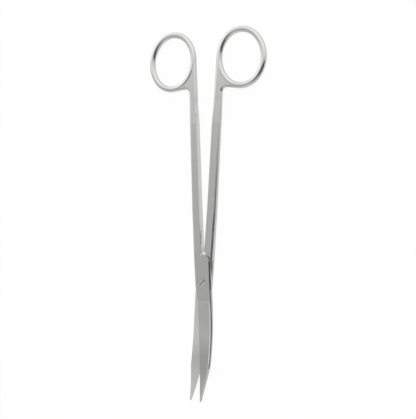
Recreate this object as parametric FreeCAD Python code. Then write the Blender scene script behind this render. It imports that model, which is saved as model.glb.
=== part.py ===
import FreeCAD, Part
import math
import os

# Dissecting scissors with long shanks and short curved blades, all in millimetres.
# The scissors lie flat: +X to the right, +Y from the pivot towards the finger rings, +Z up.
# The blades point to -Y and curve up, away from the table. The origin is on the pivot's
# axis, level with the underside of the joint.
# Each half is shaped as it lies when the scissors are closed, and then turned open.

Vector = FreeCAD.Vector
UP = Vector(0, 0, 1)

# How far the halves stand open, as an angle between them, in degrees
OPENING = 5.6

# Joint: each half has a flat plate, and the two plates lap
PLATE_THICKNESS = 2.6
LAP_CLEARANCE = 0.1
SPINE_HALF_WIDTH = 5.5
WAIST_HALF_WIDTH = 5.2
HEEL_REACH = 2.0
EDGE_BREAK = 0.8

# Shoulders: each plate ends in an arc that closes against a step in the other half
CROTCH_REACH = 17.8
SHOULDER_MIDDLE_ACROSS = 2.6
SHOULDER_MIDDLE_REACH = 16.8
SHOULDER_END_REACH = 14.0
SHOULDER_CLEARANCE = 0.1
CROTCH_RELIEF_RADIUS = 1.0
JOINT_TOP = 19.2

# Shanks
SHANK_CLEARANCE = 0.3
SHANK_WIDTH_AT_JOINT = 5.35
SHANK_WIDTH_IN_MIDDLE = 5.85
SHANK_WIDTH_AT_GRIP = 5.35
SHANK_THICKNESS = 4.0
SWELL_REACH = 62.0
CHAMFER_START = 44.0
CHAMFER_END = 98.0
GRIP_REACH = 112.0
INNER_CHAMFER_RUN = 0.65
INNER_CHAMFER_DROP = 1.6
HIDDEN_CHAMFER = 0.35
SHANK_ROUND = 1.5
CROTCH_CHAMFER = 0.15

# Finger rings: leaning ovals, joined to the shank by a flat web
RING_CENTRE_REACH = 138.0
RING_WIDTH = 32.7
RING_LENGTH = 37.6
RING_END_RADIUS = 14.9
RING_LIMB = 3.7
RING_LEAN = 7.5
WEB_THICKNESS = 3.2
WEB_ROUND = 1.4
WEB_SLOPE = 4.0
WEB_CORNER_RADIUS = 2.7
WEB_TUCK = 0.12

# Blades: reaches are distances below the pivot
CREASE_REACH = 11.5
BEND_START = 22.0
BEND_RADIUS = 125.0
KINK_REACH = 51.5
TIP_REACH = 71.4
NOSE_LENGTH = 0.5
NOSE_SHARE = 0.5
EDGE_AT_HEEL = 4.6
SPINE_AT_KINK = 4.2
TIP_HALF_WIDTH = 0.6
THICKNESS_AT_KINK = 1.9
THICKNESS_AT_TIP = 0.8
EDGE_FULLNESS = 2.4
SPINE_FULLNESS = 1.8
POINT_HOLLOW = 1.15

# Blade section: from the crease on, the outer face is ground a little lower and leaves a
# ridge along the back. The back's edge is broken as far as the kink, and then turns into
# a steep facet. Depths and runs across the blade are shares of its thickness.
BEVEL_ANGLE = 66.0
CREASE_RUN = 0.9
GRIND_DEPTH = 0.09
RIDGE_RUN = 0.42
BACK_BREAK = 0.48
FACET_START = 1.4
FACET_RUN = 0.42
FACET_DROP = 0.88

# Pivot screw: it turns in the upper half and is threaded into the lower half
SCREW_RADIUS = 1.5
RUNNING_CLEARANCE = 0.04
THREAD_CLEARANCE = 0.01
HEAD_RADIUS = 2.3
HEAD_DEPTH = 1.0
SLOT_WIDTH = 0.6
SLOT_DEPTH = 0.45
SLOT_ANGLE = 45.0

# Pieces of one forging are joined where their edges meet within this distance
JOINING_TOLERANCE = 0.001

# Fullness of a softened corner: a true quarter round, and a chamfer that is all but flat
QUARTER_ROUND = math.sqrt(2) - 1
FLAT_CHAMFER = 0.02

# Worked-out sizes
MIDDLE = PLATE_THICKNESS
JOINT_THICKNESS = 2 * PLATE_THICKNESS
LAP = LAP_CLEARANCE / 2
SHANK_INNER = -SHANK_CLEARANCE / 2
PAST = 4 * SPINE_HALF_WIDTH


def share(value, start, end):
    """How far value has gone from start to end, from 0 to 1."""
    return min(max((value - start) / (end - start), 0.0), 1.0)


def blend(start, end, part):
    return start + (end - start) * part


def line(start, end):
    return Part.LineSegment(start, end).toShape()


def prism(edges, floor, top):
    """A solid with an outline in the XY plane, from floor to top."""
    face = Part.Face(Part.Wire(edges))
    face.translate(UP * floor)
    return face.extrude(UP * (top - floor))


def polygon_edges(points):
    return [line(start, end) for start, end in zip(points, points[1:])]


# Shank: its sections run from the joint to the grip, with the ring on the -X side

def shank_outer(along):
    """Across place of the shank's outer edge, which is fullest a little above the joint."""
    if along < CHAMFER_START:
        width = blend(SHANK_WIDTH_AT_JOINT, SHANK_WIDTH_IN_MIDDLE, share(along, JOINT_TOP, CHAMFER_START))
    else:
        width = blend(SHANK_WIDTH_IN_MIDDLE, SHANK_WIDTH_AT_GRIP, share(along, CHAMFER_START, GRIP_REACH))
    return SHANK_INNER - width


def softened(corner, before, after, sizes, fullness):
    """The arc that takes the place of a sharp corner between its two neighbours."""
    first = corner + (before - corner).normalize() * sizes[0]
    last = corner + (after - corner).normalize() * sizes[1]
    middle = (first + last) * 0.5
    return Part.Arc(first, middle + (corner - middle) * fullness, last)


def shank_section(along):
    """A section with chamfers on its inner side and rounds on its outer side."""
    swell = (1 - share(along, JOINT_TOP, SWELL_REACH)) ** 2
    free = share(along, JOINT_TOP, CHAMFER_START)
    held = share(along, CHAMFER_END, GRIP_REACH)
    half = blend(blend(SHANK_THICKNESS, JOINT_THICKNESS, swell), WEB_THICKNESS, held) / 2
    hidden = blend(blend(CROTCH_CHAMFER, HIDDEN_CHAMFER, free), WEB_ROUND, held)
    inner_drop = blend(blend(CROTCH_CHAMFER, INNER_CHAMFER_DROP, free), WEB_ROUND, held)
    inner_run = blend(blend(CROTCH_CHAMFER, INNER_CHAMFER_RUN, free), WEB_ROUND, held)
    outer = blend(blend(EDGE_BREAK, SHANK_ROUND, free), WEB_ROUND, held)
    inner_fullness = blend(FLAT_CHAMFER, QUARTER_ROUND, held)
    outer_fullness = blend(FLAT_CHAMFER, QUARTER_ROUND, free)
    edge = shank_outer(along)
    corners = [Vector(SHANK_INNER, along, MIDDLE - half), Vector(SHANK_INNER, along, MIDDLE + half),
               Vector(edge, along, MIDDLE + half), Vector(edge, along, MIDDLE - half)]
    breaks = [((hidden, hidden), inner_fullness), ((inner_drop, inner_run), inner_fullness),
              ((outer, outer), outer_fullness), ((outer, outer), outer_fullness)]
    arcs = []
    for index, corner in enumerate(corners):
        sizes, fullness = breaks[index]
        arcs.append(softened(corner, corners[index - 1], corners[(index + 1) % 4], sizes, fullness))
    edges = []
    for index, arc in enumerate(arcs):
        edges.append(arc.toShape())
        edges.append(line(arc.EndPoint, arcs[(index + 1) % 4].StartPoint))
    return Part.Wire(edges)


def shank():
    reaches = [JOINT_TOP, (JOINT_TOP + CHAMFER_START) / 2, CHAMFER_START,
               (CHAMFER_START + SWELL_REACH) / 2, SWELL_REACH, CHAMFER_END, GRIP_REACH]
    return Part.makeLoft([shank_section(reach) for reach in reaches], True, True)


# Grip: the finger ring, and the flat web that carries it on the shank's end

def facing(turn, length):
    """A vector in the XY plane, turned so many degrees from +X towards +Y."""
    return Vector(math.cos(math.radians(turn)), math.sin(math.radians(turn)), 0) * length


def ring_arcs():
    """The ring's outline: a wide arc at each side and a tighter one at each end. For each arc
    its centre seen from the ring's middle, its radius, and where it starts and ends."""
    half_width = RING_WIDTH / 2
    end_offset = RING_LENGTH / 2 - RING_END_RADIUS
    side_radius = (end_offset ** 2 + half_width ** 2 - RING_END_RADIUS ** 2) / (2 * (half_width - RING_END_RADIUS))
    side_offset = side_radius - half_width
    reach = math.degrees(math.atan2(end_offset, side_offset))
    arcs = []
    for turn in (-RING_LEAN, 180 - RING_LEAN):
        arcs.append((facing(turn, -side_offset), side_radius, turn - reach, turn + reach))
        arcs.append((facing(turn + 90, end_offset), RING_END_RADIUS, turn + reach, turn + 180 - reach))
    return arcs


def ring_centre():
    """The ring's outer edge touches the line of the shank's inner edge."""
    centre, radius, start, end = ring_arcs()[0]
    return Vector(SHANK_INNER - centre.x - radius, RING_CENTRE_REACH, 0)


def ring():
    """A round limb, carried along the arcs one after the other."""
    sectors = []
    for centre, radius, start, end in ring_arcs():
        hub = ring_centre() + centre + UP * MIDDLE
        sector = Part.makeTorus(radius - RING_LIMB / 2, RING_LIMB / 2, Vector(0, 0, 0), UP, -180, 180, end - start)
        sector.rotate(Vector(0, 0, 0), UP, start)
        sector.translate(hub)
        sectors.append(sector)
    return sectors


def ring_covers(place):
    """Whether a place on the web lies inside the ring."""
    for centre, radius, start, end in ring_arcs():
        offset = place - ring_centre() - centre
        turn = math.degrees(math.atan2(offset.y, offset.x))
        if (turn - start) % 360 < end - start:
            return math.hypot(offset.x, offset.y) < radius - 2 * WEB_TUCK
    return True


def web():
    """The flat web between ring and shank, its hidden end inside the ring."""
    slope = math.radians(WEB_SLOPE)
    side, end = ring_arcs()[0], ring_arcs()[3]
    side_hub = ring_centre() + side[0]
    end_hub = ring_centre() + end[0]
    downward = 270 + WEB_SLOPE
    top = side_hub + facing(0, side[1] - WEB_TUCK)
    start = end_hub + facing(downward, end[1] - WEB_TUCK)
    core_side = Part.makeCircle(side[1] - RING_LIMB / 2, side_hub, UP, side[2], 0)
    core_end = Part.makeCircle(end[1] - RING_LIMB / 2, end_hub, UP, downward, end[3])
    edge = shank_outer(GRIP_REACH)
    corner = Vector(edge, start.y + (edge - start.x) * math.tan(slope), 0)
    inner_foot = Vector(SHANK_INNER, GRIP_REACH, 0)
    outer_foot = Vector(edge, GRIP_REACH, 0)
    outline = [line(inner_foot, top), line(top, side_hub + facing(0, side[1] - RING_LIMB / 2)),
               core_side, core_end, line(end_hub + facing(downward, end[1] - RING_LIMB / 2), start),
               line(start, corner), line(corner, outer_foot), line(outer_foot, inner_foot)]
    body = prism(outline, MIDDLE - WEB_THICKNESS / 2, MIDDLE + WEB_THICKNESS / 2)
    upright = [rim for rim in body.Edges
               if math.hypot(rim.CenterOfMass.x - corner.x, rim.CenterOfMass.y - corner.y) < LAP]
    body = body.makeFillet(WEB_CORNER_RADIUS, upright)
    open_rims = []
    for rim in body.Edges:
        place = rim.valueAt((rim.FirstParameter + rim.LastParameter) / 2)
        if rim.BoundBox.ZLength < LAP and place.y > GRIP_REACH + LAP and not ring_covers(place):
            open_rims.append(rim)
    return body.makeFillet(WEB_ROUND, open_rims)


# Joint: a block as thick as both plates, milled down to one plate, a lap and a shoulder

def shoulder_arc(side, clearance):
    """The arc from the crotch to the plate's outer corner, moved out by the clearance."""
    places = [(0.0, CROTCH_REACH), (SHOULDER_MIDDLE_ACROSS, SHOULDER_MIDDLE_REACH),
              (SPINE_HALF_WIDTH, SHOULDER_END_REACH)]
    grown = [Vector(side * across, reach, 0) * (1 + clearance / math.hypot(across, reach))
             for across, reach in places]
    return Part.Arc(*grown)


def joint():
    outer_top = Vector(shank_outer(JOINT_TOP), JOINT_TOP, 0)
    outer_heel = Vector(-WAIST_HALF_WIDTH, -HEEL_REACH, 0)
    spine_heel = Vector(SPINE_HALF_WIDTH, -HEEL_REACH, 0)
    spine_top = Vector(SPINE_HALF_WIDTH, JOINT_TOP, 0)
    waist = Part.BSplineCurve()
    waist.interpolate(Points=[outer_top, outer_heel],
                      InitialTangent=Vector(0, -1, 0) * JOINT_TOP,
                      FinalTangent=Vector(0, -1, 0) * JOINT_TOP)
    block = prism([waist.toShape()] + polygon_edges([outer_heel, spine_heel, spine_top, outer_top]),
                  0, JOINT_THICKNESS)
    sides = [rim for rim in block.Edges
             if rim.BoundBox.ZLength < LAP and rim.BoundBox.YLength > JOINT_TOP / 2]
    block = block.makeChamfer(EDGE_BREAK, sides)

    step = shoulder_arc(-1, SHOULDER_CLEARANCE / 2)
    lap_room = prism([step.toShape()] + polygon_edges([
        step.StartPoint, Vector(SHANK_INNER, step.StartPoint.y, 0), Vector(SHANK_INNER, PAST * 2, 0),
        Vector(PAST, PAST * 2, 0), Vector(PAST, -PAST, 0), Vector(-PAST, -PAST, 0),
        Vector(-PAST, 0, 0), step.EndPoint]), -JOINT_THICKNESS, MIDDLE + LAP)
    shoulder = shoulder_arc(1, -SHOULDER_CLEARANCE / 2)
    shank_room = prism([shoulder.toShape()] + polygon_edges([
        shoulder.EndPoint, Vector(PAST, 0, 0), Vector(PAST, PAST * 2, 0), Vector(SHANK_INNER, PAST * 2, 0),
        Vector(SHANK_INNER, shoulder.StartPoint.y, 0), shoulder.StartPoint]),
        -JOINT_THICKNESS, 2 * JOINT_THICKNESS)
    relief = Part.makeCylinder(CROTCH_RELIEF_RADIUS, JOINT_THICKNESS, Vector(0, CROTCH_REACH, 0))
    return block.cut([lap_room, shank_room, relief])


# Blade: its sections run from the heel to the point

def blade_rise(reach):
    """How far the curve has lifted the blade's middle surface."""
    past = max(reach - BEND_START, 0.0)
    return BEND_RADIUS - math.sqrt(BEND_RADIUS ** 2 - past ** 2)


def edge_across(reach):
    """How far the cutting edge stands beyond the centreline."""
    if reach < CREASE_REACH:
        return blend(WAIST_HALF_WIDTH, EDGE_AT_HEEL, share(reach, HEEL_REACH, CREASE_REACH))
    part = share(reach, CREASE_REACH, TIP_REACH)
    return blend(EDGE_AT_HEEL, TIP_HALF_WIDTH, part ** EDGE_FULLNESS)


def spine_across(reach):
    """How far the blunt back stands beyond the centreline."""
    if reach < KINK_REACH:
        part = share(reach, CREASE_REACH, KINK_REACH)
        return blend(SPINE_HALF_WIDTH, SPINE_AT_KINK, part ** SPINE_FULLNESS)
    part = share(reach, KINK_REACH, TIP_REACH)
    return blend(TIP_HALF_WIDTH, SPINE_AT_KINK, (1 - part) ** POINT_HOLLOW)


def blade_thickness(reach):
    if reach < KINK_REACH:
        return blend(PLATE_THICKNESS, THICKNESS_AT_KINK, share(reach, CREASE_REACH, KINK_REACH))
    return blend(THICKNESS_AT_KINK, THICKNESS_AT_TIP, share(reach, KINK_REACH, TIP_REACH))


def blade_section(side, reach, width_share=1.0):
    """A section of one blade: side is 1 for the upper blade and -1 for the lower."""
    bevelled = share(reach, HEEL_REACH, CREASE_REACH)
    faceted = share(reach, KINK_REACH, KINK_REACH + FACET_START)
    thick = blade_thickness(reach)
    ground = thick - GRIND_DEPTH * thick * share(reach, CREASE_REACH, CREASE_REACH + CREASE_RUN)
    edge = -edge_across(reach)
    back = spine_across(reach)
    bevel = bevelled * (ground - LAP) / math.tan(math.radians(BEVEL_ANGLE))
    middle = blend(thick - EDGE_BREAK, ground / 2, bevelled)
    back_break = blend(EDGE_BREAK, BACK_BREAK, bevelled)
    back_run = blend(back_break, FACET_RUN * thick, faceted)
    back_drop = blend(back_break, FACET_DROP * thick, faceted)
    ridge_run = bevelled * RIDGE_RUN * thick
    corners = [(edge, LAP), (edge + bevel * (middle - LAP) / (ground - LAP), middle),
               (edge + blend(EDGE_BREAK, bevel, bevelled), ground), (back - back_run - ridge_run, ground),
               (back - back_run, thick), (back, thick - back_drop), (back, LAP)]
    points = [Vector(side * across * width_share, -reach, MIDDLE + side * height + blade_rise(reach))
              for across, height in corners]
    return Part.makePolygon(points + points[:1])


def blade_span(side, reaches):
    return Part.makeLoft([blade_section(side, reach) for reach in reaches], True, False)


def blade(side):
    body_start = CREASE_REACH + CREASE_RUN
    bend_middle = (BEND_START + KINK_REACH) / 2
    body = blade_span(side, [body_start, (body_start + BEND_START) / 2, BEND_START,
                             (BEND_START + bend_middle) / 2, bend_middle,
                             (bend_middle + KINK_REACH) / 2, KINK_REACH])
    point_start = KINK_REACH + FACET_START
    nose_start = TIP_REACH - NOSE_LENGTH
    point = blade_span(side, [point_start, blend(point_start, nose_start, 1 / 3),
                              blend(point_start, nose_start, 2 / 3), nose_start])
    nose = Part.makeLoft([blade_section(side, nose_start), blade_section(side, TIP_REACH, NOSE_SHARE)],
                         True, True)
    return [blade_span(side, [HEEL_REACH, CREASE_REACH]), blade_span(side, [CREASE_REACH, body_start]),
            body, blade_span(side, [KINK_REACH, point_start]), point, nose]


# Pivot screw and the holes it goes through

def screw_form(clearance):
    """The screw's outer form, grown by a clearance."""
    head_floor = JOINT_THICKNESS - HEAD_DEPTH
    body = Part.makeCylinder(SCREW_RADIUS + clearance, head_floor)
    head = Part.makeCone(SCREW_RADIUS + clearance, HEAD_RADIUS + clearance, HEAD_DEPTH,
                         Vector(0, 0, head_floor))
    return body.fuse(head)


def half(side):
    """One forging: ring, shank, joint plate and blade."""
    handle = [shank(), web(), joint()] + ring()
    if side < 0:
        handle = [piece.rotate(Vector(0, 0, MIDDLE), Vector(0, 1, 0), 180) for piece in handle]
    whole = handle[0].fuse(handle[1:] + blade(side), JOINING_TOLERANCE).removeSplitter()
    whole = whole.cut(screw_form(RUNNING_CLEARANCE if side > 0 else THREAD_CLEARANCE))
    whole.rotate(Vector(0, 0, 0), UP, side * OPENING / 2)
    return whole


def pivot_screw():
    body = screw_form(0)
    slot = Part.makeBox(4 * HEAD_RADIUS, SLOT_WIDTH, SLOT_DEPTH,
                        Vector(-2 * HEAD_RADIUS, -SLOT_WIDTH / 2, JOINT_THICKNESS - SLOT_DEPTH))
    slot.rotate(Vector(0, 0, 0), UP, SLOT_ANGLE)
    return body.cut(slot)


os.makedirs("parts", exist_ok=True)
half(1).exportStep("parts/upper_half.step")
half(-1).exportStep("parts/lower_half.step")
pivot_screw().exportStep("parts/pivot_screw.step")
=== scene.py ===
import math

import bmesh
import bpy
from bpy.props import FloatProperty, FloatVectorProperty, PointerProperty
from mathutils import Matrix, Vector


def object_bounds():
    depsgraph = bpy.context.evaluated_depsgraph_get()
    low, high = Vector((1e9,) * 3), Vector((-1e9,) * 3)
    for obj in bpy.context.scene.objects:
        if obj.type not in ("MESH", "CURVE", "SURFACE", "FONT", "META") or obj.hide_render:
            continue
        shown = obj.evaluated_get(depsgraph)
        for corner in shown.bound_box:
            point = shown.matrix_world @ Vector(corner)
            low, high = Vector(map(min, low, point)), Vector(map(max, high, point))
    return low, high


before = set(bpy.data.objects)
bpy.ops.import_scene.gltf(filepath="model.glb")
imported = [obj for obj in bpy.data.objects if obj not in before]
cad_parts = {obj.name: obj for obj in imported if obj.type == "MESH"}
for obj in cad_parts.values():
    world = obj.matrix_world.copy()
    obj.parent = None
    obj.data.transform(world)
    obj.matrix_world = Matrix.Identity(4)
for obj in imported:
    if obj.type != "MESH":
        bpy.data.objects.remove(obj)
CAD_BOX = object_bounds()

bl_info = {
    "name": "Dissecting Scissors",
    "version": (1, 0, 0),
    "blender": (4, 5, 0),
    "location": "3D View > Sidebar > Scissors",
    "description": "Finishes a pair of dissecting scissors and sets it on a small studio stage",
    "category": "Object",
}

MM = 0.001

# The halves stand open by this much on each side of the middle, and lap at this height in
# millimetres
HALF_OPENING = math.radians(2.8)
LAP_HEIGHT = 2.6

# Zones of one half, in millimetres as it is when the scissors are closed: the place where
# a zone begins and the place where it is fully reached. X runs away from the half's own
# ring, Y from the pivot towards the rings, Z out of the lap.
LAPPED_BLADE = (11.0, 9.0)
LAPPED_PLATE = (-1.0, -0.5)
CREASE_ABOVE = (-11.4, -11.9)
CREASE_BELOW = (-12.7, -12.2)
BLADE_FACE = (-12.2, -12.7)
RIDGE_TOP = (-12.0, -14.0)
RIDGE_KINK = (-54.0, -47.0)
POINT_BRUSHING = (-30.0, -50.0)
BACK_TOP = (14.0, 12.0)
BACK_KINK = (-53.0, -51.0)
STRIP_FOOT = (20.0, 26.0)
STRIP_GRIP = (116.0, 106.0)
STRIP_SIDE = (-3.4, -2.2)
RING_POLISH = (109.0, 116.0)

# Which faces belong to a zone, by a part of their outward direction
LOOKS_OUT = (0.8, 0.9)
LOOKS_AT_LAP = (-0.75, -0.85)
LOOKS_UP_OR_DOWN = (0.75, 0.88)
LEANS_TO_EDGE = (-0.1, -0.16)
LEANS_TO_BACK = (0.5, 0.6)
NOT_UPRIGHT = (0.85, 0.8)
LEANS_INWARDS = (0.3, 0.6)

# The ground strip on the shank's inner edge, in millimetres: its depth, its slope, the share
# of its depth over which it brightens, and the shank's half thickness, which swells between
# two reaches on the way to the joint
STRIP_DEPTH = 1.6
STRIP_SLOPE = 0.32
STRIP_FADE = (0.0, 0.5)
SHANK_HALF = 2.0
JOINT_SWELL = 0.6
SWELL_REACHES = (62.0, 19.0)

# Where painted shade darkens the screw, in millimetres: the rim of its head by radius, and its
# slot by height
RIM_SHADE = (2.08, 2.26)
SLOT_SHADE_TOP = (5.15, 4.95)
SLOT_SHADE_FLOOR = (4.2, 4.6)

# How much longer than wide the lines of the grain and the grinding marks are, how fine
# their noise is, the levels that its clouds mostly keep to, and the rays per rounded edge
GRAIN_STRETCH = 40
GRINDING_STRETCH = 45
GRAIN_DETAIL = 2.0
GRINDING_DETAIL = 3.0
CLOUD_DETAIL = 3.0
CLOUD_LEVELS = (0.3, 0.7)
EDGE_SAMPLES = 6

# How bright the studio room is, by rise and by swing in degrees, and the brightest that a
# level can be. Swing goes from overhead to the right and rise towards the rings.
RISE_LEVELS = ((-90, 1.15), (-70, 1.0), (-55, 0.64), (-34, 0.6), (-20, 0.63), (-8, 0.69), (0, 0.74),
               (5, 0.8), (10, 0.95), (20, 1.12), (40, 1.3), (90, 1.35))
SWING_LEVELS = ((-180, 1.3), (-100, 1.3), (-60, 1.25), (-50, 1.15), (-38, 1.02), (-30, 1.0), (-20, 1.0),
                (-5, 1.15), (40, 1.15), (180, 1.1))
BRIGHTEST = 1.5

# The dark flag low on the right: how dark it is, and the soft borders that enclose it
FLAG_DEPTH = 0.88
FLAG_SWINGS = ((-12, 4), (97, 82))
FLAG_RISES = ((-48, -14), (3, -4))

# How far the paper gives under the scissors, so that it never coincides with their faces,
# and how near to the camera a thing can be seen
FLOOR_GIVE = 0.01 * MM
NEAREST_SEEN = 10 * MM


def from_hex(code):
    """An sRGB hex colour as linear red, green and blue."""
    channels = [int(code[place:place + 2], 16) / 255 for place in (0, 2, 4)]
    return [value / 12.92 if value <= 0.04045 else ((value + 0.055) / 1.055) ** 2.4 for value in channels]


# Sizes and colours that a user would change

class ScissorsSteel(bpy.types.PropertyGroup):
    satin_colour: FloatVectorProperty(
        name="Satin colour", description="Colour of the satin steel outside",
        subtype="COLOR", size=3, min=0, max=1, default=from_hex("BFBFBE"))
    ground_colour: FloatVectorProperty(
        name="Ground colour", description="Colour of the ground faces that lap",
        subtype="COLOR", size=3, min=0, max=1, default=from_hex("D5D5D3"))
    # Painted highlight: the colour that lightens the crease and the ridge along the back
    painted_highlight_colour: FloatVectorProperty(
        name="Painted highlight colour", description="Colour of the crease and of the ridge along the back",
        subtype="COLOR", size=3, min=0, max=1, default=from_hex("D6D6D5"))
    cloud_share: FloatProperty(
        name="Cloud share", description="How light the duller clouds in the satin are",
        subtype="FACTOR", min=0, max=1, default=0.93)
    satin_roughness: FloatProperty(
        name="Satin roughness", description="Roughness of the satin steel",
        subtype="FACTOR", min=0, max=1, default=0.2)
    ring_roughness: FloatProperty(
        name="Ring roughness", description="Roughness of the finger rings",
        subtype="FACTOR", min=0, max=1, default=0.15)
    ground_roughness: FloatProperty(
        name="Ground roughness", description="Roughness of the ground faces that lap",
        subtype="FACTOR", min=0, max=1, default=0.3)
    roughness_spread: FloatProperty(
        name="Roughness spread", description="How much the clouds change the roughness",
        subtype="FACTOR", min=0, max=1, default=0.025)
    grain_width: FloatProperty(
        name="Grain width", description="Width of one line of the lengthwise satin grain",
        unit="LENGTH", default=0.25 * MM, precision=5)
    grinding_width: FloatProperty(
        name="Grinding width", description="Width of one grinding mark across the inner faces",
        unit="LENGTH", default=0.17 * MM, precision=5)
    cloud_size: FloatProperty(
        name="Cloud size", description="Size of the duller clouds in the satin",
        unit="LENGTH", default=11 * MM, precision=4)
    grain_depth: FloatProperty(
        name="Grain depth", description="Depth of the grain and of the grinding marks",
        unit="LENGTH", default=0.0025 * MM, precision=6)
    edge_break: FloatProperty(
        name="Edge break", description="How far the polishing wheel rounded the sharp edges",
        unit="LENGTH", default=0.18 * MM, precision=5)
    ring_tone: FloatProperty(
        name="Ring tone", description="How light the closer polish leaves the finger rings",
        subtype="FACTOR", min=0, max=2, default=1.09)
    blade_tone: FloatProperty(
        name="Blade tone", description="How light the outer faces of the blades are",
        subtype="FACTOR", min=0, max=2, default=1.07)
    point_tone: FloatProperty(
        name="Point tone", description="How light the coarser brushing leaves the points",
        subtype="FACTOR", min=0, max=2, default=0.64)
    # Painted shade: how far the back's broken edge is darkened
    back_shade_tone: FloatProperty(
        name="Back tone", description="How light the unpolished broken edge of the back is",
        subtype="FACTOR", min=0, max=2, default=0.3)
    # Painted highlight: how far the ground strip on the inner edge is lightened
    strip_highlight_tone: FloatProperty(
        name="Strip tone", description="How light the burnished strip on the inner edge is",
        subtype="FACTOR", min=0, max=2, default=1.2)
    turning_pitch: FloatProperty(
        name="Turning pitch", description="Distance between the turning marks on the screw",
        unit="LENGTH", default=0.15 * MM, precision=5)
    screw_tone: FloatProperty(
        name="Screw tone", description="How light the turned face of the screw is",
        subtype="FACTOR", min=0, max=2, default=1.06)
    # Painted shade: how far the rim of the screw's head and its slot are darkened
    rim_and_slot_shade_tone: FloatProperty(
        name="Rim and slot shade tone", description="How light the grime in the screw's rim and slot is",
        subtype="FACTOR", min=0, max=2, default=0.42)


class ScissorsStage(bpy.types.PropertyGroup):
    floor_size: FloatProperty(
        name="Floor size", description="Side of the square floor", unit="LENGTH", default=3.0)
    floor_colour: FloatVectorProperty(
        name="Floor colour", description="Colour of the paper floor",
        subtype="COLOR", size=3, min=0, max=1, default=from_hex("FAFAFA"))
    floor_share: FloatProperty(
        name="Floor share", description="How much of the floor's look is plain white, not lit paper",
        subtype="FACTOR", min=0, max=1, default=0.96)
    lamp_place: FloatVectorProperty(
        name="Lamp place", description="Where the soft lamp hangs",
        subtype="XYZ", size=3, unit="LENGTH", default=(-0.75, 0.5, 0.45))
    lamp_width: FloatProperty(
        name="Lamp width", description="Short side of the soft lamp", unit="LENGTH", default=0.5)
    lamp_length: FloatProperty(
        name="Lamp length", description="Long side of the soft lamp", unit="LENGTH", default=0.9)
    lamp_power: FloatProperty(
        name="Lamp power", description="Power of the soft lamp", unit="POWER", default=0.5)
    camera_swing: FloatProperty(
        name="Camera swing", description="How far the camera leans from overhead to the right",
        subtype="ANGLE", default=math.radians(25.23))
    camera_pitch: FloatProperty(
        name="Camera pitch", description="How far the camera leans towards the finger rings",
        subtype="ANGLE", default=math.radians(0.883))
    camera_roll: FloatProperty(
        name="Camera roll", description="Turn of the camera about its own line of sight",
        subtype="ANGLE", default=math.radians(0.599))
    camera_distance: FloatProperty(
        name="Camera distance", description="Distance from the camera to the point it looks at",
        unit="LENGTH", default=444.2 * MM)
    camera_target: FloatVectorProperty(
        name="Camera target", description="The point the camera looks at",
        subtype="XYZ", size=3, unit="LENGTH", default=(2.385 * MM, 44.921 * MM, 3.0 * MM))
    camera_lens: FloatProperty(
        name="Camera lens", description="Focal length on a full-frame sensor, in millimetres",
        unit="CAMERA", default=61.98)


# Helpers

def add_node(tree, kind, inputs=None, **settings):
    """A new node with its settings. Inputs are set to values, or linked to a socket or to
    another node's first output."""
    node = tree.nodes.new(kind)
    for name, value in settings.items():
        setattr(node, name, value)
    for name, value in (inputs or {}).items():
        if isinstance(value, bpy.types.Node):
            value = value.outputs[0]
        if isinstance(value, bpy.types.NodeSocket):
            tree.links.new(value, node.inputs[name])
        else:
            node.inputs[name].default_value = value
    return node


def zone(tree, *borders):
    """How far a place lies inside a zone, from 0 to 1. Each border is a socket, the value at
    which the zone begins, and the value at which it is fully reached."""
    inside = None
    for socket, start, end in borders:
        step = add_node(tree, "ShaderNodeMapRange", {"Value": socket, "From Min": start, "From Max": end},
                        interpolation_type="SMOOTHSTEP")
        if inside is None:
            inside = step
        else:
            inside = add_node(tree, "ShaderNodeMath", {0: inside, 1: step}, operation="MULTIPLY")
    return inside


def half_places(tree, side):
    """Places, places in millimetres and outward directions, as they are in one half when the
    scissors are closed. Side is 1 for the upper half and -1 for the lower, whose ring, shank
    and plate are the upper half's turned over."""
    coordinates = add_node(tree, "ShaderNodeTexCoord")
    turned = {"Rotation": (0, 0, -HALF_OPENING), "Scale": (side, 1, side)}
    place = add_node(tree, "ShaderNodeMapping", {"Vector": coordinates.outputs["Object"], **turned,
                                                 "Location": (0, 0, -side * LAP_HEIGHT * MM)})
    outward = add_node(tree, "ShaderNodeMapping", {"Vector": coordinates.outputs["Normal"], **turned})
    in_millimetres = add_node(tree, "ShaderNodeVectorMath", {0: place, "Scale": 1 / MM}, operation="SCALE")
    return (place, add_node(tree, "ShaderNodeSeparateXYZ", {0: in_millimetres}).outputs,
            add_node(tree, "ShaderNodeSeparateXYZ", {0: outward}).outputs)


def strip_depth(tree, where):
    """How deep a place lies in the ground strip on the shank's inner edge, from 0 at the top
    of the edge to 1 at the strip's foot. The strip is steeper than the forged edge, so it
    mirrors the pale table."""
    far, near = SWELL_REACHES
    swell = add_node(tree, "ShaderNodeMapRange", {"Value": where["Y"], "From Min": far, "From Max": near})
    swell = add_node(tree, "ShaderNodeMath", {0: swell, 1: 2.0}, operation="POWER")
    half_thickness = add_node(tree, "ShaderNodeMath", {0: swell, 1: JOINT_SWELL, 2: SHANK_HALF},
                              operation="MULTIPLY_ADD")
    from_top = add_node(tree, "ShaderNodeMath", {0: half_thickness, 1: where["Z"]}, operation="SUBTRACT")
    from_top = add_node(tree, "ShaderNodeMath", {0: from_top, 1: STRIP_DEPTH}, operation="DIVIDE")
    from_floor = add_node(tree, "ShaderNodeMath", {0: where["Z"], 1: half_thickness}, operation="ADD")
    from_floor = add_node(tree, "ShaderNodeMath", {0: from_floor, 1: 2 * SHANK_HALF - STRIP_DEPTH},
                          operation="DIVIDE")
    depth = add_node(tree, "ShaderNodeMath", {0: from_top, 1: from_floor}, operation="MINIMUM",
                     use_clamp=True)
    inside = zone(tree, (where["X"], *STRIP_SIDE), (where["Y"], *STRIP_FOOT), (where["Y"], *STRIP_GRIP))
    return add_node(tree, "ShaderNodeMath", {0: depth, 1: inside}, operation="MULTIPLY")
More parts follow.
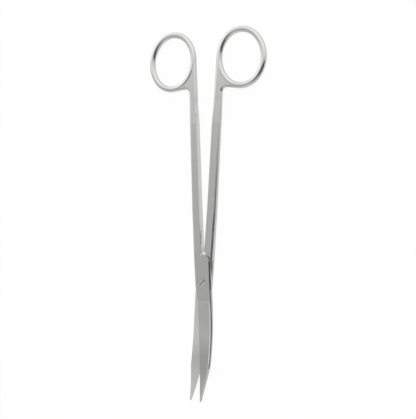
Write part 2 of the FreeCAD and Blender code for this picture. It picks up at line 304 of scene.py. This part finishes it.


# Satin stainless steel, beaded and then lightly polished along its length.
# It gives the eye soft reflections that run along the shanks, with faint lengthwise lines
# and slightly duller clouds. The rings are polished a little further. The faces that lap
# are ground across, which makes them paler. The blades' outer faces are polished again but
# brushed coarser towards the points. A painted highlight makes a fine bright line at the
# crease and a bright ridge along the back, a painted shade makes a dark line on the back's
# broken edge, and a painted highlight lightens the ground strip on the shanks' inner edges.

def satin_stainless_steel(steel, side):
    """Satin steel for one half: side is 1 for the upper half and -1 for the lower."""
    material = bpy.data.materials.new("satin_stainless_steel")
    material.use_nodes = True
    tree = material.node_tree
    shader = tree.nodes["Principled BSDF"]
    shader.inputs["Metallic"].default_value = 1.0
    place, where, outward = half_places(tree, side)

    # Where each finish, painted highlight and painted shade is
    polished = zone(tree, (where["Y"], *RING_POLISH))
    blade = zone(tree, (where["Y"], *LAPPED_BLADE))
    plate = zone(tree, (where["Z"], *LAPPED_PLATE))
    lapped = add_node(tree, "ShaderNodeMath", {0: blade, 1: plate}, operation="MAXIMUM")
    lap_face = zone(tree, (outward["Z"], *LOOKS_AT_LAP), (lapped.outputs[0], 0.0, 1.0))
    # Painted highlight: the crease and the ridge along the back are lightened
    crease = zone(tree, (where["Y"], *CREASE_ABOVE), (where["Y"], *CREASE_BELOW), (outward["Z"], *LOOKS_OUT))
    ridge = zone(tree, (outward["X"], *LEANS_TO_EDGE), (outward["Z"], *LOOKS_OUT), (where["Y"], *RIDGE_TOP),
                 (where["Y"], *RIDGE_KINK))
    painted_highlight = add_node(tree, "ShaderNodeMath", {0: crease, 1: ridge}, operation="MAXIMUM")
    face = zone(tree, (outward["Z"], *LOOKS_OUT), (where["Y"], *BLADE_FACE))
    level = add_node(tree, "ShaderNodeMath", {0: outward["Z"]}, operation="ABSOLUTE")
    point = zone(tree, (level.outputs[0], *LOOKS_UP_OR_DOWN), (where["Y"], *POINT_BRUSHING))
    # Painted shade: the back's broken edge is darkened
    back = zone(tree, (outward["X"], *LEANS_TO_BACK), (outward["X"], *NOT_UPRIGHT),
                (where["Y"], *BACK_TOP), (where["Y"], *BACK_KINK))
    # The strip's depth shapes its relief; the strip mask below carries a painted highlight
    depth = strip_depth(tree, where)
    strip = zone(tree, (depth.outputs[0], *STRIP_FADE), (outward["X"], *LEANS_INWARDS))

    # Grain along the steel, grinding marks across the lap faces, and clouds
    textures = []
    for width, stretch, detail in (
            (steel.grain_width, (1, GRAIN_STRETCH, 1), GRAIN_DETAIL),
            (steel.grinding_width, (GRINDING_STRETCH, 1, GRINDING_STRETCH), GRINDING_DETAIL),
            (steel.cloud_size, (1, 1, 1), CLOUD_DETAIL)):
        scale = [1 / (width * share) for share in stretch]
        scaled = add_node(tree, "ShaderNodeMapping", {"Vector": place, "Scale": scale})
        textures.append(add_node(tree, "ShaderNodeTexNoise",
                                 {"Vector": scaled, "Scale": 1.0, "Detail": detail}))
    grain, grinding, clouds = textures

    # Colour
    dull = [steel.cloud_share * value for value in steel.satin_colour]
    colour = add_node(tree, "ShaderNodeMixRGB", {"Fac": clouds, "Color1": (*steel.satin_colour, 1),
                                                 "Color2": (*dull, 1)})
    colour = add_node(tree, "ShaderNodeMixRGB", {"Fac": lap_face, "Color1": colour,
                                                 "Color2": (*steel.ground_colour, 1)})
    # The back's tone is a painted shade and the strip's tone a painted highlight
    for mask, tone in ((polished, steel.ring_tone), (face, steel.blade_tone), (point, steel.point_tone),
                       (back, steel.back_shade_tone), (strip, steel.strip_highlight_tone)):
        share = add_node(tree, "ShaderNodeMapRange", {"Value": mask, "To Min": 1.0, "To Max": tone})
        colour = add_node(tree, "ShaderNodeVectorMath", {0: colour, "Scale": share}, operation="SCALE")
    # Painted highlight on the crease and the ridge along the back
    colour = add_node(tree, "ShaderNodeMixRGB", {"Fac": painted_highlight, "Color1": colour,
                                                 "Color2": (*steel.painted_highlight_colour, 1)})
    tree.links.new(colour.outputs[0], shader.inputs["Base Color"])

    # Roughness
    roughness = add_node(tree, "ShaderNodeMix", {"Factor": polished, "A": steel.satin_roughness,
                                                 "B": steel.ring_roughness})
    low, high = CLOUD_LEVELS
    cloudy = add_node(tree, "ShaderNodeMapRange",
                      {"Value": clouds, "From Min": low, "From Max": high,
                       "To Min": -steel.roughness_spread, "To Max": steel.roughness_spread})
    roughness = add_node(tree, "ShaderNodeMath", {0: roughness, 1: cloudy}, operation="ADD")
    roughness = add_node(tree, "ShaderNodeMix", {"Factor": lap_face, "A": roughness,
                                                 "B": steel.ground_roughness})
    tree.links.new(roughness.outputs[0], shader.inputs["Roughness"])

    # Relief: the rounded edges, the ground strip, and then the grain or the grinding marks
    broken = add_node(tree, "ShaderNodeBevel", {"Radius": steel.edge_break}, samples=EDGE_SAMPLES)
    edge = add_node(tree, "ShaderNodeBump", {"Height": depth, "Normal": broken,
                                             "Distance": STRIP_SLOPE * STRIP_DEPTH * MM}, invert=True)
    marks = add_node(tree, "ShaderNodeMix", {"Factor": lap_face, "A": grain, "B": grinding})
    bump = add_node(tree, "ShaderNodeBump", {"Height": marks, "Normal": edge, "Distance": steel.grain_depth})
    tree.links.new(bump.outputs[0], shader.inputs["Normal"])
    return material


# Turned stainless steel.
# It gives the eye a face slightly paler than the satin around it, with fine turning rings,
# and painted shade in the slot and in a thin dark line where the head's rim sits in the joint.

def turned_stainless_steel(steel):
    """Turned steel for the pivot screw, whose axis is the Z axis."""
    material = bpy.data.materials.new("turned_stainless_steel")
    material.use_nodes = True
    tree = material.node_tree
    shader = tree.nodes["Principled BSDF"]
    shader.inputs["Metallic"].default_value = 1.0
    shader.inputs["Roughness"].default_value = steel.satin_roughness
    place = add_node(tree, "ShaderNodeTexCoord").outputs["Object"]
    place = add_node(tree, "ShaderNodeVectorMath", {0: place, "Scale": 1 / MM}, operation="SCALE")
    height = add_node(tree, "ShaderNodeSeparateXYZ", {0: place}).outputs["Z"]
    flat = add_node(tree, "ShaderNodeVectorMath", {0: place, 1: (1, 1, 0)}, operation="MULTIPLY")
    radius = add_node(tree, "ShaderNodeVectorMath", {0: flat}, operation="LENGTH").outputs["Value"]
    # Painted shade darkens the rim of the head and the slot
    rim = zone(tree, (radius, *RIM_SHADE))
    slot = zone(tree, (height, *SLOT_SHADE_TOP), (height, *SLOT_SHADE_FLOOR))
    rim_and_slot_shade = add_node(tree, "ShaderNodeMath", {0: rim, 1: slot}, operation="MAXIMUM")
    bright = [steel.screw_tone * value for value in steel.satin_colour]
    rim_and_slot_shade_colour = [steel.rim_and_slot_shade_tone * value for value in steel.satin_colour]
    colour = add_node(tree, "ShaderNodeMixRGB", {"Fac": rim_and_slot_shade, "Color1": (*bright, 1),
                                                 "Color2": (*rim_and_slot_shade_colour, 1)})
    tree.links.new(colour.outputs[0], shader.inputs["Base Color"])
    phase = add_node(tree, "ShaderNodeMath", {0: radius, 1: 2 * math.pi * MM / steel.turning_pitch},
                     operation="MULTIPLY")
    wave = add_node(tree, "ShaderNodeMath", {0: phase}, operation="SINE")
    broken = add_node(tree, "ShaderNodeBevel", {"Radius": steel.edge_break / 2}, samples=EDGE_SAMPLES)
    bump = add_node(tree, "ShaderNodeBump", {"Height": wave, "Normal": broken, "Distance": steel.grain_depth})
    tree.links.new(bump.outputs[0], shader.inputs["Normal"])
    return material


def dress(node_name, material):
    """The CAD node keeps its shape and takes the material."""
    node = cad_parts[node_name]
    node.data.materials.clear()
    node.data.materials.append(material)


class SCISSORS_OT_finish_halves(bpy.types.Operator):
    """Give both halves their satin steel, ground faces and softly broken edges"""
    bl_idname = "scissors.finish_halves"
    bl_label = "Finish the Halves"

    def execute(self, context):
        steel = context.scene.scissors_steel
        dress("upper_half", satin_stainless_steel(steel, 1))
        dress("lower_half", satin_stainless_steel(steel, -1))
        return {"FINISHED"}


class SCISSORS_OT_finish_screw(bpy.types.Operator):
    """Give the pivot screw its turned steel"""
    bl_idname = "scissors.finish_screw"
    bl_label = "Finish the Pivot Screw"

    def execute(self, context):
        dress("pivot_screw", turned_stainless_steel(context.scene.scissors_steel))
        return {"FINISHED"}


class SCISSORS_OT_stage(bpy.types.Operator):
    """Lay the paper floor and set the room, the lamp and the camera"""
    bl_idname = "scissors.stage"
    bl_label = "Set the Stage"

    def execute(self, context):
        stage = context.scene.scissors_stage
        lay_floor(context.scene, stage)
        light_room(context.scene)
        hang_lamp(context.scene, stage)
        set_camera(context.scene, stage)
        context.scene.view_settings.view_transform = "Standard"
        return {"FINISHED"}


def lay_floor(scene, stage):
    """A large sheet of matt white paper under the scissors."""
    mesh = bpy.data.meshes.new("paper_floor")
    floor = bpy.data.objects.new("paper_floor", mesh)
    scene.collection.objects.link(floor)
    shape = bmesh.new()
    bmesh.ops.create_grid(shape, x_segments=1, y_segments=1, size=stage.floor_size / 2)
    bmesh.ops.translate(shape, verts=shape.verts, vec=(0, 0, CAD_BOX[0][2] - FLOOR_GIVE))
    shape.to_mesh(mesh)
    shape.free()
    mesh.materials.append(matt_paper(stage))


# Matt white paper.
# It gives the eye, and the steel that mirrors it, an almost plain white ground, with only a
# little of the light and shadow that really fall on it.

def matt_paper(stage):
    """Paper that the camera and mirror rays see nearly as plain white light."""
    material = bpy.data.materials.new("matt_paper")
    material.use_nodes = True
    tree = material.node_tree
    tree.nodes.clear()
    paper = add_node(tree, "ShaderNodeBsdfDiffuse", {"Color": (*stage.floor_colour, 1)})
    glow = add_node(tree, "ShaderNodeEmission", {"Color": (1, 1, 1, 1), "Strength": 1.0})
    rays = add_node(tree, "ShaderNodeLightPath").outputs
    seen = rays["Is Camera Ray"]
    for ray in ("Is Glossy Ray", "Is Transmission Ray"):
        seen = add_node(tree, "ShaderNodeMath", {0: seen, 1: rays[ray]}, operation="MAXIMUM")
    share = add_node(tree, "ShaderNodeMath", {0: seen, 1: stage.floor_share}, operation="MULTIPLY")
    mixed = add_node(tree, "ShaderNodeMixShader", {0: share, 1: paper, 2: glow})
    add_node(tree, "ShaderNodeOutputMaterial", {"Surface": mixed})
    return material


def light_room(scene):
    """A pale studio room: dimmer straight above and towards the blades, brighter on the left,
    with a dark flag low on the right. The camera itself sees plain white."""
    world = bpy.data.worlds.new("studio_room")
    scene.world = world
    world.use_nodes = True
    tree = world.node_tree
    tree.nodes.clear()
    place = add_node(tree, "ShaderNodeTexCoord").outputs["Generated"]
    parts = add_node(tree, "ShaderNodeSeparateXYZ", {0: place}).outputs
    swing = add_node(tree, "ShaderNodeMath", {0: parts["X"], 1: parts["Z"]}, operation="ARCTAN2")
    rise = add_node(tree, "ShaderNodeMath", {0: parts["Y"]}, operation="ARCSINE")
    flag = zone(tree, *((angle.outputs[0], math.radians(start), math.radians(end))
                        for angle, borders in ((swing, FLAG_SWINGS), (rise, FLAG_RISES))
                        for start, end in borders))
    strength = add_node(tree, "ShaderNodeMapRange", {"Value": flag, "To Min": 1.0, "To Max": 1 - FLAG_DEPTH})
    for angle, reach, stops in ((rise, 90, RISE_LEVELS), (swing, 180, SWING_LEVELS)):
        turn = add_node(tree, "ShaderNodeMapRange", {"Value": angle, "From Min": math.radians(-reach),
                                                     "From Max": math.radians(reach)})
        ramp = add_node(tree, "ShaderNodeValToRGB", {"Fac": turn})
        ramp.color_ramp.interpolation = "B_SPLINE"
        elements = ramp.color_ramp.elements
        for degrees, _ in stops[1:-1]:
            elements.new((degrees + reach) / (2 * reach))
        for element, (_, level) in zip(elements, stops):
            element.color = (level / BRIGHTEST,) * 3 + (1,)
        brightness = add_node(tree, "ShaderNodeMapRange", {"Value": ramp, "To Max": BRIGHTEST})
        strength = add_node(tree, "ShaderNodeMath", {0: strength, 1: brightness}, operation="MULTIPLY")
    rays = add_node(tree, "ShaderNodeLightPath").outputs
    strength = add_node(tree, "ShaderNodeMix", {"Factor": rays["Is Camera Ray"], "A": strength, "B": 1.0})
    light = add_node(tree, "ShaderNodeBackground", {"Color": (1, 1, 1, 1), "Strength": strength})
    add_node(tree, "ShaderNodeOutputWorld", {"Surface": light})


def hang_lamp(scene, stage):
    """A large soft lamp on the left, which faces the pivot."""
    lamp = bpy.data.lights.new("soft_lamp", "AREA")
    lamp.shape = "RECTANGLE"
    lamp.size = stage.lamp_width
    lamp.size_y = stage.lamp_length
    lamp.energy = stage.lamp_power
    holder = bpy.data.objects.new("soft_lamp", lamp)
    scene.collection.objects.link(holder)
    place = Vector(stage.lamp_place)
    holder.matrix_world = Matrix.Translation(place) @ place.to_track_quat("Z", "Y").to_matrix().to_4x4()


def set_camera(scene, stage):
    """The photo's camera: nearly overhead, leaning to the right, with the rings at the top."""
    camera = bpy.data.cameras.new("camera")
    camera.lens = stage.camera_lens
    camera.clip_start = NEAREST_SEEN
    holder = bpy.data.objects.new("camera", camera)
    scene.collection.objects.link(holder)
    away = Vector((math.sin(stage.camera_swing) * math.cos(stage.camera_pitch), math.sin(stage.camera_pitch),
                   math.cos(stage.camera_swing) * math.cos(stage.camera_pitch)))
    right = Vector((0, 1, 0)).cross(away).normalized()
    turned = Matrix((right, away.cross(right), away)).transposed().to_4x4()
    place = Vector(stage.camera_target) + away * stage.camera_distance
    holder.matrix_world = Matrix.Translation(place) @ turned @ Matrix.Rotation(stage.camera_roll, 4, "Z")
    scene.camera = holder


class SCISSORS_PT_panel(bpy.types.Panel):
    """Buttons and sizes of the dissecting scissors"""
    bl_idname = "SCISSORS_PT_panel"
    bl_label = "Dissecting Scissors"
    bl_space_type = "VIEW_3D"
    bl_region_type = "UI"
    bl_category = "Scissors"

    def draw(self, context):
        for operator in OPERATORS:
            self.layout.operator(operator.bl_idname)
        for group in (context.scene.scissors_steel, context.scene.scissors_stage):
            for name in type(group).__annotations__:
                self.layout.prop(group, name)


OPERATORS = (SCISSORS_OT_finish_halves, SCISSORS_OT_finish_screw, SCISSORS_OT_stage)
CLASSES = (ScissorsSteel, ScissorsStage, *OPERATORS, SCISSORS_PT_panel)


def register():
    for entry in CLASSES:
        bpy.utils.register_class(entry)
    bpy.types.Scene.scissors_steel = PointerProperty(type=ScissorsSteel)
    bpy.types.Scene.scissors_stage = PointerProperty(type=ScissorsStage)


def unregister():
    del bpy.types.Scene.scissors_stage
    del bpy.types.Scene.scissors_steel
    for entry in reversed(CLASSES):
        bpy.utils.unregister_class(entry)


def main():
    register()
    bpy.ops.scissors.finish_halves()
    bpy.ops.scissors.finish_screw()
    bpy.ops.scissors.stage()


if __name__ == "__main__":
    main()
